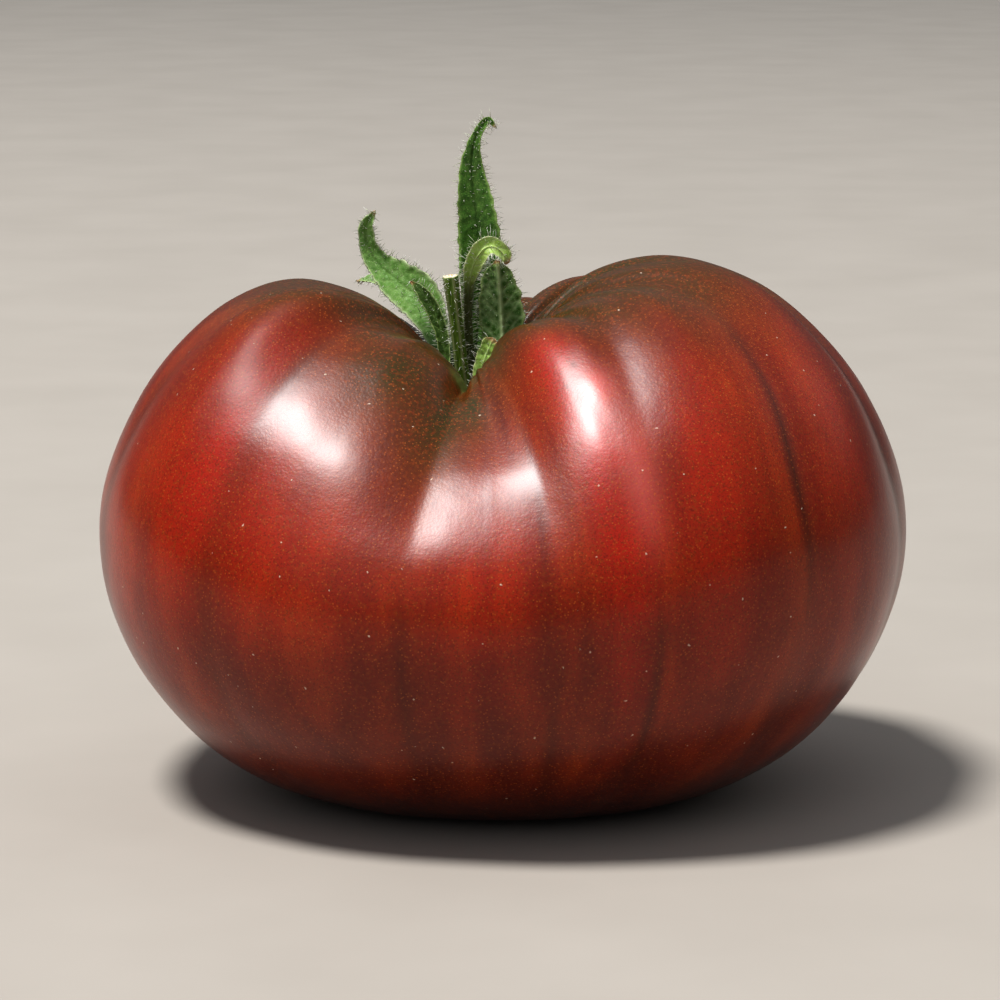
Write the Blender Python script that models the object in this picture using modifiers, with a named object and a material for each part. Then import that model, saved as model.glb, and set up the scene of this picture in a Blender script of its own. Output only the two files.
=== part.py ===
"""A ripe beefsteak tomato with its calyx and a stub of stalk, standing on its blossom end.

Units are metres and +Z is up. +X runs along the wide side of the fruit. The origin is on the
surface that the fruit stands on, under the middle of its box.
"""

import math

import bmesh
import bpy
from mathutils import Vector

MM = 0.001

# The fruit
HALF_WIDTH = 55.0 * MM
HALF_DEPTH = 47.0 * MM
HEIGHT = 70.0 * MM  # of a lobe of ordinary height
ROUNDNESS = 2.15  # exponent of the plan's superellipse; 2 is an ellipse
STEM_X = -3.5 * MM  # where the stem end sits, beside the middle
STEM_Y = 1.0 * MM
SEGMENTS_PER_LOBE = 6
RINGS = 42

# One side of the fruit, from the floor of the stem cavity over the shoulder to the blossom end,
# as shares of the reach outwards and of the height.
PROFILE = (
    (0.00, 0.705), (0.06, 0.72), (0.105, 0.81), (0.17, 0.90), (0.29, 0.97), (0.46, 1.0),
    (0.62, 0.965), (0.76, 0.885), (0.89, 0.775), (0.975, 0.64), (1.0, 0.515), (0.975, 0.375),
    (0.895, 0.235), (0.76, 0.115), (0.59, 0.035), (0.42, 0.0), (0.21, 0.0), (0.0, 0.03),
)
CREST = 5  # the point of PROFILE on top of the shoulder
WAIST = 10  # its widest point
CREST_REACH, CREST_HEIGHT = PROFILE[CREST]
SHOULDER_START = 0.66  # how high on the cavity wall the lobes begin to differ in height
SLOPE_END = 0.4  # how far below the waist, in points of PROFILE, their heights meet again
REACH_START = 1.0  # the points of PROFILE between which the lobes take their own reach
REACH_FULL = 3.0
WIDENING_START = 1.0  # and how far outside the crest a narrow lobe starts to widen
WIDENING_END = 1.2  # and how far below the waist it has its full width

# The lobes, anticlockwise from the left. Each row has the direction of the crease that starts the
# lobe, in degrees, at the shoulder and at the waist; the height of its shoulder in millimetres;
# how far out that shoulder is; and the depth of the crease in millimetres at CREASE_MARKS.
LOBES = (
    (-167, -168, 70.0, 0.465, (2.6, 1.2, 0.2, 0.5)),
    (-138, -138, 63.5, 0.370, (1.8, 0.8, 0.3, 0.4)),
    (-97, -106, 59.5, 0.330, (4.0, 1.1, 0.15, 0.3)),
    (-84, -82, 66.0, 0.380, (1.3, 0.5, 0.12, 0.2)),
    (-50, -64, 69.8, 0.450, (1.3, 0.4, 0.12, 0.4)),
    (-20, -39, 72.6, 0.490, (1.5, 0.6, 0.25, 0.3)),
    (14, -12, 71.5, 0.520, (2.6, 1.1, 0.6, 0.6)),
    (42, 16, 68.0, 0.450, (2.8, 1.2, 0.7, 0.8)),
    (66, 44, 64.5, 0.400, (3.0, 1.2, 0.8, 0.8)),
    (90, 72, 58.0, 0.340, (3.0, 1.2, 0.8, 0.8)),
    (112, 100, 62.0, 0.400, (3.0, 1.2, 0.8, 0.8)),
    (138, 134, 69.0, 0.465, (2.8, 1.2, 0.4, 0.4)),
)
CREASE_MARKS = (5.0, 7.5, 10.5, 13.0)  # places along PROFILE
CREASE_START = 2.0  # on the cavity wall
CREASE_END = 15.0  # before the flat ring under the fruit
CREASE_WIDTH = 0.24  # as a share of a lobe
CREASE_SHARPNESS = 1.5

# The calyx
CALYX_X = -4.6 * MM
CALYX_Y = 0.0 * MM
BASE_RADIUS = 2.3 * MM
BASE_FOOT_SHARE = 0.55  # its foot is narrower
BASE_BOTTOM = 50.7 * MM
BASE_TOP = 52.0 * MM
SEPAL_START = 52.4 * MM  # the feet of the sepals clear the base
SEPAL_FOOT_REACH = 0.87  # as a share of the base's radius
SEPAL_FOOT_WIDTH = 0.95  # in millimetres
SEPAL_THICKNESS = 0.6 * MM
SEPAL_ROWS = 14
SEPAL_COLUMNS = 4
STALK_RADIUS = 1.05 * MM
STALK_START = 52.6 * MM

# The middle line of the stalk above its foot, in millimetres.
STALK_ROUTE = ((-5.3, -0.7, 56.0), (-6.0, -1.1, 62.0), (-6.6, -1.4, 67.0), (-7.0, -1.6, 70.4))

# Each sepal has the direction in which its foot leaves the calyx, in degrees; the middle line of
# its blade above the foot and its full width at those points, in millimetres; the way its upper
# face looks at the foot and at the tip; and how far its halves fold up, in degrees.
SEPALS = {
    "sepal_tall": dict(
        direction=72,
        line=((-3.6, 3.4, 58.0, 3.0), (-3.1, 4.2, 65.0, 5.0), (-2.9, 4.6, 72.0, 6.3),
              (-3.5, 5.0, 79.0, 5.3), (-4.1, 5.4, 84.2, 3.5), (-3.6, 5.3, 88.3, 1.7),
              (-2.0, 4.9, 90.8, 1.1), (-0.8, 4.5, 89.8, 0.6)),
        faces=((0.1, -1.0, 0.1), (-0.2, -1.0, 0.3)),
        fold=24,
    ),
    "sepal_right": dict(
        direction=-12,
        line=((-1.5, 0.2, 56.5, 2.6), (-0.1, 0.8, 60.5, 5.2), (-0.2, 1.3, 65.5, 6.2),
              (-0.5, 1.5, 69.5, 4.8), (-0.7, 1.5, 72.4, 1.2)),
        faces=((-0.3, -1.0, 0.2), (0.2, -1.0, 0.2)),
        fold=20,
    ),
    "sepal_arched": dict(
        direction=32,
        line=((-4.1, 1.6, 57.5, 1.3), (-4.6, 1.6, 63.0, 1.2), (-4.6, 1.2, 68.4, 1.5),
              (-4.0, 0.6, 71.6, 2.5), (-2.9, 0.2, 73.6, 3.0), (-1.5, 0.1, 74.2, 2.9),
              (-0.1, 0.2, 73.3, 2.4), (0.7, 0.4, 71.9, 1.5)),
        faces=((0.0, -1.0, 0.1), (0.5, -0.8, 0.5)),
        fold=26,
    ),
    "sepal_short": dict(
        direction=-58,
        line=((-3.3, -2.6, 55.4, 1.8), (-2.5, -3.2, 58.8, 2.7), (-1.5, -3.8, 61.4, 2.6),
              (-1.0, -4.0, 62.4, 1.6)),
        faces=((-0.4, -0.9, 0.4), (-0.2, -0.9, 0.5)),
        fold=16,
    ),
    "sepal_left_curled": dict(
        direction=152,
        line=((-7.3, 3.4, 57.0, 2.0), (-9.0, 6.0, 61.8, 4.2), (-11.2, 7.9, 65.6, 6.4),
              (-14.2, 9.2, 68.2, 6.2), (-16.9, 10.0, 70.4, 4.2), (-18.5, 10.4, 73.0, 2.6),
              (-18.7, 10.3, 75.8, 2.1), (-17.4, 9.9, 78.0, 0.7)),
        faces=((-0.2, -1.0, 0.5), (0.3, -1.0, 0.4)),
        fold=18,
    ),
    "sepal_left_dark": dict(
        direction=190,
        line=((-7.4, 0.9, 56.6, 1.5), (-7.9, 1.8, 61.2, 2.0), (-9.1, 2.5, 64.6, 2.3),
              (-10.7, 3.0, 67.2, 2.0), (-12.5, 3.4, 69.2, 0.7)),
        faces=((-0.6, -0.9, 0.3), (0.2, -1.0, 0.6)),
        fold=30,
    ),
    "sepal_left_back": dict(
        direction=111,
        line=((-6.9, 5.3, 57.4, 2.0), (-9.6, 9.8, 62.6, 3.4), (-13.4, 13.8, 66.2, 4.0),
              (-17.2, 16.4, 67.6, 2.8), (-20.4, 17.8, 67.2, 0.7)),
        faces=((0.2, -0.6, 0.8), (0.0, -0.3, 1.0)),
        fold=14,
    ),
}


def clear_scene():
    for obj in list(bpy.data.objects):
        bpy.data.objects.remove(obj)


def make_material(name, colour, roughness):
    material = bpy.data.materials.new(name)
    material.use_nodes = True
    shader = material.node_tree.nodes["Principled BSDF"]
    shader.inputs["Base Color"].default_value = (*colour, 1.0)
    shader.inputs["Roughness"].default_value = roughness
    shader.inputs["Metallic"].default_value = 0.0
    return material


def ease(start, end, value):
    """0 up to start and 1 from end on, with a smooth rise between them."""
    share = min(max((value - start) / (end - start), 0.0), 1.0)
    return share * share * (3.0 - 2.0 * share)


def catmull_rom(before, start, end, after, share):
    return 0.5 * (
        2.0 * start
        + (end - before) * share
        + (2.0 * before - 5.0 * start + 4.0 * end - after) * share**2
        + (3.0 * start - before - 3.0 * end + after) * share**3
    )


def along_row(rows, column, place):
    """A value between the rows of an open table, on a smooth curve through them."""
    last = len(rows) - 1
    index = min(int(place), last - 1)
    picks = [rows[min(max(index + step, 0), last)][column] for step in (-1, 0, 1, 2)]
    return catmull_rom(*picks, place - index)


def around_lobes(column, place, turn=0.0):
    """A lobe's value, on a smooth curve that closes round the fruit and gains turn each time."""
    index = math.floor(place)
    picks = []
    for step in (-1, 0, 1, 2):
        laps, row = divmod(index + step, len(LOBES))
        picks.append(LOBES[row][column] + laps * turn)
    return catmull_rom(*picks, place - index)


def crease_depth(lobe_place, place):
    """How deep the surface is cut here, from the crease that is nearest."""
    nearest = round(lobe_place)
    depths = (0.0, *LOBES[nearest % len(LOBES)][4], 0.0)
    marks = (CREASE_START, *CREASE_MARKS, CREASE_END)
    if not CREASE_START < place < CREASE_END:
        return 0.0
    part = max(i for i, mark in enumerate(marks) if place > mark)
    share = ease(marks[part], marks[part + 1], place)
    depth = depths[part] * (1.0 - share) + depths[part + 1] * share
    away = abs(lobe_place - nearest) / CREASE_WIDTH
    return depth * MM * math.exp(-(away**CREASE_SHARPNESS))


def fruit_point(lobe_place, place):
    """A point of the skin. lobe_place counts lobes round the fruit and place runs along PROFILE."""
    out = along_row(PROFILE, 0, place)
    up = along_row(PROFILE, 1, place)
    step = 0.01
    ahead = min(place + step, len(PROFILE) - 1.0)
    behind = max(place - step, 0.0)

    to_waist = ease(CREST - 1.0, WAIST - 1.0, place)
    shoulder_angle = around_lobes(0, lobe_place, 360.0)
    waist_angle = around_lobes(1, lobe_place, 360.0)
    angle = math.radians(shoulder_angle * (1.0 - to_waist) + waist_angle * to_waist)
    reach = (
        abs(math.cos(angle) / HALF_WIDTH) ** ROUNDNESS
        + abs(math.sin(angle) / HALF_DEPTH) ** ROUNDNESS
    ) ** (-1.0 / ROUNDNESS)

    rise = (along_row(PROFILE, 1, ahead) - along_row(PROFILE, 1, behind)) * HEIGHT
    run = (along_row(PROFILE, 0, ahead) - along_row(PROFILE, 0, behind)) * reach
    slope = math.hypot(rise, run)

    # A lobe whose crest is far in slopes outwards slowly; one whose crest is far out drops steeply.
    own_reach = around_lobes(3, lobe_place - 0.5) / CREST_REACH
    narrowing = 1.0 + (own_reach - 1.0) * ease(REACH_START, REACH_FULL, place)
    if narrowing < 1.0:
        widening = ease(CREST + WIDENING_START, WAIST + WIDENING_END, place)
    else:
        widening = ease(CREST_REACH, 1.0, out) if place < WAIST else 1.0
    out *= narrowing + (1.0 - narrowing) * widening
    if place < CREST:
        lift = ease(SHOULDER_START, CREST_HEIGHT, up) * ease(0.0, CREASE_START, place)
    else:
        lift = 1.0 - ease(CREST, WAIST + SLOPE_END, place)
    lobe_height = around_lobes(2, lobe_place - 0.5) * MM
    height = up * HEIGHT + (lobe_height - HEIGHT) * lift
    depth = crease_depth(lobe_place, place)
    radius = out * reach + depth * rise / slope
    height -= depth * run / slope
    return Vector((
        STEM_X * (1.0 - to_waist) + radius * math.cos(angle),
        STEM_Y * (1.0 - to_waist) + radius * math.sin(angle),
        max(height, 0.0),
    ))


def make_fruit():
    segments = SEGMENTS_PER_LOBE * len(LOBES)
    sphere = bmesh.new()
    bmesh.ops.create_uvsphere(sphere, u_segments=segments, v_segments=RINGS, radius=1.0)
    for vertex in sphere.verts:
        from_top = math.acos(min(max(vertex.co.z, -1.0), 1.0)) / math.pi
        ring = round(from_top * RINGS)
        turn = math.atan2(vertex.co.y, vertex.co.x) / math.tau
        segment = round(turn * segments)
        place = ring / RINGS * (len(PROFILE) - 1)
        vertex.co = fruit_point(segment / SEGMENTS_PER_LOBE, place)
    return finish_mesh("fruit", sphere)


def finish_mesh(name, work):
    bmesh.ops.recalc_face_normals(work, faces=work.faces)
    mesh = bpy.data.meshes.new(name)
    work.to_mesh(mesh)
    work.free()
    mesh.shade_smooth()
    return bpy.data.objects.new(name, mesh)


def make_calyx_base():
    """A low round button, narrower at its foot."""
    button = bmesh.new()
    bmesh.ops.create_cone(
        button,
        cap_ends=True,
        segments=20,
        radius1=BASE_RADIUS * BASE_FOOT_SHARE,
        radius2=BASE_RADIUS,
        depth=BASE_TOP - BASE_BOTTOM,
    )
    middle = Vector((CALYX_X, CALYX_Y, (BASE_TOP + BASE_BOTTOM) / 2.0))
    bmesh.ops.translate(button, verts=button.verts, vec=middle)
    return finish_mesh("calyx_base", button)


def make_stalk():
    """A round stub whose foot is on the calyx and whose top is cut across."""
    curve = bpy.data.curves.new("stalk", "CURVE")
    curve.dimensions = "3D"
    curve.bevel_depth = STALK_RADIUS
    curve.bevel_resolution = 3
    curve.resolution_u = 4
    curve.use_fill_caps = True
    foot = (CALYX_X / MM, CALYX_Y / MM, STALK_START / MM)
    points = (foot, *STALK_ROUTE)
    spline = curve.splines.new("BEZIER")
    spline.bezier_points.add(len(points) - 1)
    for knot, point in zip(spline.bezier_points, points):
        knot.co = Vector(point) * MM
        knot.handle_left_type = "AUTO"
        knot.handle_right_type = "AUTO"
    return bpy.data.objects.new("stalk", curve)


def sepal_point(sepal, along, across):
    """A point of the blade: along runs 0..1 from foot to tip and across -1..1 over its width."""
    place = along * (len(sepal["line"]) - 1)
    middle = Vector([along_row(sepal["line"], axis, place) for axis in range(3)])
    width = along_row(sepal["line"], 3, place)
    step = 0.05
    ahead = min(place + step, len(sepal["line"]) - 1.0)
    behind = max(place - step, 0.0)
    forward = Vector([
        along_row(sepal["line"], axis, ahead) - along_row(sepal["line"], axis, behind)
        for axis in range(3)
    ]).normalized()
    faces = Vector(sepal["faces"][0]).lerp(Vector(sepal["faces"][1]), along)
    side = forward.cross(faces).normalized()
    top = side.cross(forward)
    fold = math.radians(sepal["fold"])
    half = width / 2.0 * across
    return (middle + side * half * math.cos(fold) + top * abs(half) * math.sin(fold)) * MM


def make_sepal(name, sepal):
    foot_angle = math.radians(sepal["direction"])
    foot_reach = BASE_RADIUS * SEPAL_FOOT_REACH
    foot = (
        (CALYX_X + foot_reach * math.cos(foot_angle)) / MM,
        (CALYX_Y + foot_reach * math.sin(foot_angle)) / MM,
        (SEPAL_START + SEPAL_THICKNESS / 2.0) / MM,
        SEPAL_FOOT_WIDTH,
    )
    whole = dict(sepal, line=(foot, *sepal["line"]))
    grid = bmesh.new()
    bmesh.ops.create_grid(grid, x_segments=SEPAL_COLUMNS, y_segments=SEPAL_ROWS, size=1.0)
    for vertex in grid.verts:
        vertex.co = sepal_point(whole, (vertex.co.y + 1.0) / 2.0, vertex.co.x)
    obj = finish_mesh(name, grid)
    shell = obj.modifiers.new("thickness", "SOLIDIFY")
    shell.thickness = SEPAL_THICKNESS
    shell.offset = 0.0
    return obj


def add_to(collection, obj, material):
    collection.objects.link(obj)
    obj.data.materials.append(material)


def main():
    clear_scene()
    tomato = bpy.data.collections.new("tomato")
    bpy.context.scene.collection.children.link(tomato)
    add_to(tomato, make_fruit(), make_material("ripe_skin", (0.26, 0.025, 0.012), 0.3))
    add_to(tomato, make_calyx_base(), make_material("calyx_green", (0.12, 0.2, 0.04), 0.7))
    add_to(tomato, make_stalk(), make_material("stalk_green", (0.1, 0.2, 0.04), 0.6))
    for name, sepal in SEPALS.items():
        add_to(tomato, make_sepal(name, sepal), make_material(name + "_leaf", (0.06, 0.17, 0.03), 0.6))


main()
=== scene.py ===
import math
import random

import bpy
import numpy as np
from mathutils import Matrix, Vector, noise


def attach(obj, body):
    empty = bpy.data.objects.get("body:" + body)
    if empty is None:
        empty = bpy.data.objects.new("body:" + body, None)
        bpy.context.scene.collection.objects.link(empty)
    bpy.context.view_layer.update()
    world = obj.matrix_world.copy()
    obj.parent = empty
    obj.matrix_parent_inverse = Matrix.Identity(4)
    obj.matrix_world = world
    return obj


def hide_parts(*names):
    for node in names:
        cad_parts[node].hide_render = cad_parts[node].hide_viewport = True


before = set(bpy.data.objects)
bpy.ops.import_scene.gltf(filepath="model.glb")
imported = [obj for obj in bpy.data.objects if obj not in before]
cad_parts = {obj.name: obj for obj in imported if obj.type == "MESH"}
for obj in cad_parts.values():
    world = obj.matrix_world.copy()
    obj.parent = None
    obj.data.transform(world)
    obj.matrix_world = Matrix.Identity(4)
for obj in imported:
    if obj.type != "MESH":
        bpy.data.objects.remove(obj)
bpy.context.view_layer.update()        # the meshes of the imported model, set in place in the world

mm = 0.001  # sizes are in millimetres, except where a note says metres


# an sRGB hex colour as the linear one that a socket takes
def linear(hexColour):
    parts = [int(hexColour[at:at + 2], 16) / 255.0 for at in (1, 3, 5)]
    return [*(part / 12.92 if part <= 0.04045 else ((part + 0.055) / 1.055) ** 2.4 for part in parts), 1.0]


# the scale of a pattern laid out in metres, from the size of its features in millimetres
def scaleFor(size):
    return 1.0 / (size * mm)


# one node with its settings; an input is a link, a hex colour or a plain value
def addNode(tree, kind, inputs=None, stops=None, **settings):
    node = tree.nodes.new(kind)
    for name, value in settings.items():
        setattr(node, name, value)
    for name, value in (inputs or {}).items():
        if isinstance(value, bpy.types.NodeSocket):
            tree.links.new(value, node.inputs[name])
        else:
            node.inputs[name].default_value = linear(value) if isinstance(value, str) else value
    for place, value in stops or []:
        spot = node.color_ramp.elements.new(place)
        spot.color = linear(value) if isinstance(value, str) else (value, value, value, 1.0)
    if stops:
        node.color_ramp.elements.remove(node.color_ramp.elements[0])
        node.color_ramp.elements.remove(node.color_ramp.elements[-1])
    return node


def newMaterial(name):
    material = bpy.data.materials.new(name)
    material.use_nodes = True
    material.node_tree.nodes.clear()
    return material, material.node_tree


# 0 up to start and 1 from end on, with a smooth rise between them
def ease(start, end, value):
    share = np.clip((value - start) / (end - start), 0.0, 1.0)
    return share * share * (3.0 - 2.0 * share)


# a smooth curve through four values, at a share of the way from the second to the third
def curveThrough(before, start, end, after, share):
    return 0.5 * (
        2.0 * start
        + (end - before) * share
        + (2.0 * before - 5.0 * start + 4.0 * end - after) * share**2
        + (3.0 * start - before - 3.0 * end + after) * share**3
    )


# values between the rows of a table, at fractional rows
def alongRow(values, place):
    values = np.asarray(values, float)
    last = len(values) - 1
    row = np.clip(np.floor(place).astype(int), 0, last - 1)
    picks = [values[np.clip(row + step, 0, last)] for step in (-1, 0, 1, 2)]
    share = place - row
    return curveThrough(*picks, share if values.ndim == 1 else share[..., None])


# soft noise from -1 to 1 at points given in millimetres, with features of a given size
def softNoise(points, size, seed=0.0):
    shift = Vector((seed, seed * 1.7, seed * 0.6))
    return np.array([noise.noise(Vector(point) / size + shift) for point in points])


def unit(vectors):
    return vectors / np.maximum(np.linalg.norm(vectors, axis=-1, keepdims=True), 1e-9)


# a mesh object from points in millimetres, with a value at each point for its material to read
def newPiece(name, points, faces, traits, materials):
    mesh = bpy.data.meshes.new(name)
    mesh.from_pydata((np.asarray(points) * mm).tolist(), [], faces)
    for trait, values in traits.items():
        values = np.asarray(values, float)
        isVector = values.ndim == 2
        layer = mesh.attributes.new(trait, "FLOAT_VECTOR" if isVector else "FLOAT", "POINT")
        layer.data.foreach_set("vector" if isVector else "value", values.ravel())
    mesh.shade_smooth()
    for material in materials:
        mesh.materials.append(material)
    piece = bpy.data.objects.new(name, mesh)
    bpy.context.scene.collection.objects.link(piece)
    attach(piece, "root")
    return piece


# the faces of rings of points that follow each other, with a point to close each end
def ringFaces(rings, around):
    faces = []
    for ring in range(rings - 1):
        low, high = ring * around, (ring + 1) * around
        for at in range(around):
            after = (at + 1) % around
            faces.append((low + at, low + after, high + after, high + at))
    first, last, end = rings * around, rings * around + 1, (rings - 1) * around
    for at in range(around):
        after = (at + 1) % around
        faces.append((first, after, at))
        faces.append((last, end + at, end + after))
    return faces


fruitSizes = {
    "halfWidth": 55.0,
    "halfDepth": 47.0,
    "height": 70.0,
    "roundness": 2.15,  # exponent of the plan's superellipse
    "stem": (-3.5, 1.0),  # the middle of the cavity
    # rows of the profile below: two of them, and what changes between two rows
    "crest": 5,  # on top of the shoulder
    "waist": 10,  # where the fruit is widest
    "ownHeight": (0.0, 2.0),  # the lobes rise from a level floor
    "ownReach": (1.0, 3.0),  # they take on their own reach
    "swing": (4.0, 9.0),  # each crease swings from its shoulder's direction to its waist's
    "widening": (6.0, 11.2),  # a lobe with its crest far in slopes out to its full width
    "levelRow": 10.4,  # the heights of the lobes are the same from here down
    "shoulderStart": 0.66,  # how high on the cavity wall the lobes begin to differ in height
    "creaseWidth": 0.24,  # as a share of a lobe
    "creaseSharpness": 1.5,
    "creaseMarks": (2.0, 5.0, 7.5, 10.5, 13.0, 15.0),  # the rows for 0, the four depths and 0
    "pointsPerLobe": 30,
    "rings": 236,
}

# one side of the fruit, from the stem cavity over the shoulder to the blossom end,
# as shares of the reach outwards and of the height
fruitProfile = (
    (0.00, 0.705), (0.06, 0.72), (0.105, 0.81), (0.17, 0.90), (0.29, 0.97), (0.46, 1.0),
    (0.62, 0.965), (0.76, 0.885), (0.89, 0.775), (0.975, 0.64), (1.0, 0.515), (0.975, 0.375),
    (0.895, 0.235), (0.76, 0.115), (0.59, 0.035), (0.42, 0.0), (0.21, 0.0), (0.0, 0.03),
)

# anticlockwise from the left: the direction of the crease that starts the lobe, at the shoulder
# and at the waist; the height of its shoulder; how far out that is, as a share of the reach; and
# the depths of its crease, going down
fruitLobes = (
    (-167, -168, 70.0, 0.465, (2.6, 1.2, 0.2, 0.5)),
    (-138, -138, 63.5, 0.370, (1.8, 0.8, 0.3, 0.4)),
    (-97, -106, 59.5, 0.330, (4.0, 1.1, 0.15, 0.3)),
    (-84, -82, 66.0, 0.380, (1.3, 0.5, 0.12, 0.2)),
    (-50, -64, 69.8, 0.450, (1.3, 0.4, 0.12, 0.4)),
    (-20, -39, 72.6, 0.490, (1.5, 0.6, 0.25, 0.3)),
    (14, -12, 71.5, 0.520, (2.6, 1.1, 0.6, 0.6)),
    (42, 16, 68.0, 0.450, (2.8, 1.2, 0.7, 0.8)),
    (66, 44, 64.5, 0.400, (3.0, 1.2, 0.8, 0.8)),
    (90, 72, 58.0, 0.340, (3.0, 1.2, 0.8, 0.8)),
    (112, 100, 62.0, 0.400, (3.0, 1.2, 0.8, 0.8)),
    (138, 134, 69.0, 0.465, (2.8, 1.2, 0.4, 0.4)),
)

lobeCount = len(fruitLobes)
lastRow = len(fruitProfile) - 1

# where the ripening left its colours: lobe, row of the profile, spread over each, and strength
ripeningMarks = {
    "blush": (
        (0.92, 8.2, 0.34, 2.2, 0.75), (0.25, 10.0, 0.5, 2.5, 0.35), (0.80, 5.9, 0.2, 0.8, 0.5),
        (3.46, 6.3, 0.26, 0.9, 1.0), (3.58, 7.9, 0.22, 1.5, 1.0), (3.68, 9.8, 0.24, 1.8, 0.7),
        (4.35, 8.6, 0.3, 2.6, 0.5), (2.6, 9.6, 0.5, 1.6, 0.45), (1.5, 9.6, 0.4, 1.2, 0.4),
        (5.4, 8.4, 0.4, 2.4, 0.3), (7.4, 8.0, 0.4, 2.4, 0.6), (9.5, 7.8, 0.5, 2.2, 0.7),
        (11.2, 8.6, 0.4, 2.4, 0.5), (8.5, 10.2, 0.4, 2.0, 0.4), (10.4, 10.4, 0.4, 2.0, 0.35),
    ),
    "olive": (
        (1.5, 6.1, 0.5, 1.3, 1.0), (1.95, 6.9, 0.24, 1.5, 1.0), (2.3, 6.5, 0.38, 1.1, 1.0),
        (1.02, 7.6, 0.1, 2.1, 1.0), (0.8, 4.8, 0.4, 0.7, 0.5), (5.1, 5.2, 0.8, 1.3, 0.8),
        (4.3, 4.8, 0.5, 0.8, 0.7), (6.4, 5.6, 0.7, 1.5, 0.9), (7.6, 5.8, 0.5, 1.3, 0.8),
        (9.0, 6.2, 0.6, 1.3, 0.9), (10.6, 6.0, 0.6, 1.3, 0.8), (11.6, 5.2, 0.4, 1.0, 0.6),
    ),
    # dark lines along the creases, partly the skin's own colour and partly painted shade in them; the last
    # three are small marks by the pink blemish
    "streakAndCreaseShade": (
        (4.93, 8.4, 0.045, 1.8, 0.8), (3.93, 11.6, 0.04, 1.4, 0.6), (2.0, 11.4, 0.04, 1.6, 0.4),
        (1.0, 7.0, 0.05, 1.4, 0.45), (2.96, 8.6, 0.05, 1.8, 0.4), (1.0, 11.2, 0.06, 1.6, 0.3),
        (6.0, 8.6, 0.06, 2.0, 0.6), (7.0, 8.2, 0.06, 2.0, 0.6), (8.0, 9.0, 0.06, 2.0, 0.6),
        (9.0, 8.4, 0.06, 2.2, 0.7), (10.0, 9.2, 0.06, 2.0, 0.6), (11.0, 8.6, 0.06, 2.0, 0.6),
        (0.0, 9.2, 0.06, 2.0, 0.5), (3.03, 12.2, 0.06, 1.2, 0.4), (4.9, 12.2, 0.07, 1.2, 0.4),
        (3.62, 6.5, 0.025, 0.09, 0.9), (3.78, 7.0, 0.02, 0.08, 0.9), (3.5, 6.9, 0.02, 0.07, 0.7),
    ),
    "dull": ((0.62, 6.4, 0.36, 1.3, 0.95), (5.6, 5.6, 0.7, 1.2, 0.5)),
    "pink": ((3.72, 7.0, 0.12, 0.35, 0.8), (3.6, 7.7, 0.1, 0.5, 0.5), (3.9, 8.4, 0.14, 0.9, 0.4)),
}


# a lobe's value, on a smooth curve that closes round the fruit and gains turn each time
def aroundLobes(column, place, turn=0.0):
    values = np.array([lobe[column] for lobe in fruitLobes], float)
    index = np.floor(place).astype(int)
    picks = [
        values[(index + step) % lobeCount] + (index + step) // lobeCount * turn for step in (-1, 0, 1, 2)
    ]
    return curveThrough(*picks, place - index)


# how deep the skin is cut by the nearest crease
def creaseDepth(lobePlace, place):
    nearest = np.round(lobePlace).astype(int)
    depths = np.array([(0.0, *lobe[4], 0.0) for lobe in fruitLobes])[nearest % lobeCount]
    marks = np.array(fruitSizes["creaseMarks"])
    part = np.clip(np.searchsorted(marks, place) - 1, 0, len(marks) - 2)
    share = ease(marks[part], marks[part + 1], place)
    rows = np.arange(len(place))
    depth = depths[rows, part] * (1.0 - share) + depths[rows, part + 1] * share
    away = np.abs(lobePlace - nearest) / fruitSizes["creaseWidth"]
    return depth * np.exp(-(away ** fruitSizes["creaseSharpness"]))


# points of the skin; lobePlace counts lobes round the fruit and place runs along the profile
def fruitPoints(lobePlace, place):
    sizes = fruitSizes
    outwards, upwards = np.array(fruitProfile).T
    crest = sizes["crest"]
    out, up = alongRow(outwards, place), alongRow(upwards, place)
    nudge = 0.01  # rows
    ahead = np.minimum(place + nudge, lastRow)
    behind = np.maximum(place - nudge, 0.0)
    toWaist = ease(*sizes["swing"], place)
    shoulderAngle = aroundLobes(0, lobePlace, 360.0)
    angle = np.radians(shoulderAngle * (1.0 - toWaist) + aroundLobes(1, lobePlace, 360.0) * toWaist)
    power = sizes["roundness"]
    reach = (
        np.abs(np.cos(angle) / sizes["halfWidth"]) ** power
        + np.abs(np.sin(angle) / sizes["halfDepth"]) ** power
    ) ** (-1.0 / power)
    rise = (alongRow(upwards, ahead) - alongRow(upwards, behind)) * sizes["height"]
    run = (alongRow(outwards, ahead) - alongRow(outwards, behind)) * reach
    slope = np.hypot(rise, run)
    upper = place < sizes["waist"]
    crestReach, crestHeight = fruitProfile[crest]
    # a lobe's own reach and height are those at its middle
    middle = lobePlace - 0.5
    narrowing = 1.0 + (aroundLobes(3, middle) / crestReach - 1.0) * ease(*sizes["ownReach"], place)
    # a lobe with its crest far in slopes out slowly and reaches its full width below the waist
    isNarrow = narrowing < 1.0
    widening = np.where(isNarrow, ease(*sizes["widening"], place), ease(crestReach, 1.0, out))
    out = out * (narrowing + (1.0 - narrowing) * np.where(isNarrow | upper, widening, 1.0))
    inner = ease(sizes["shoulderStart"], crestHeight, up) * ease(*sizes["ownHeight"], place)
    lift = np.where(place < crest, inner, 1.0 - ease(crest, sizes["levelRow"], place))
    height = up * sizes["height"] + (aroundLobes(2, middle) - sizes["height"]) * lift
    depth = creaseDepth(lobePlace, place)
    radius = out * reach + depth * rise / slope
    height = height - depth * run / slope
    return np.stack([
        sizes["stem"][0] * (1.0 - toWaist) + radius * np.cos(angle),
        sizes["stem"][1] * (1.0 - toWaist) + radius * np.sin(angle),
        np.maximum(height, 0.0),
    ], -1)


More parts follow.
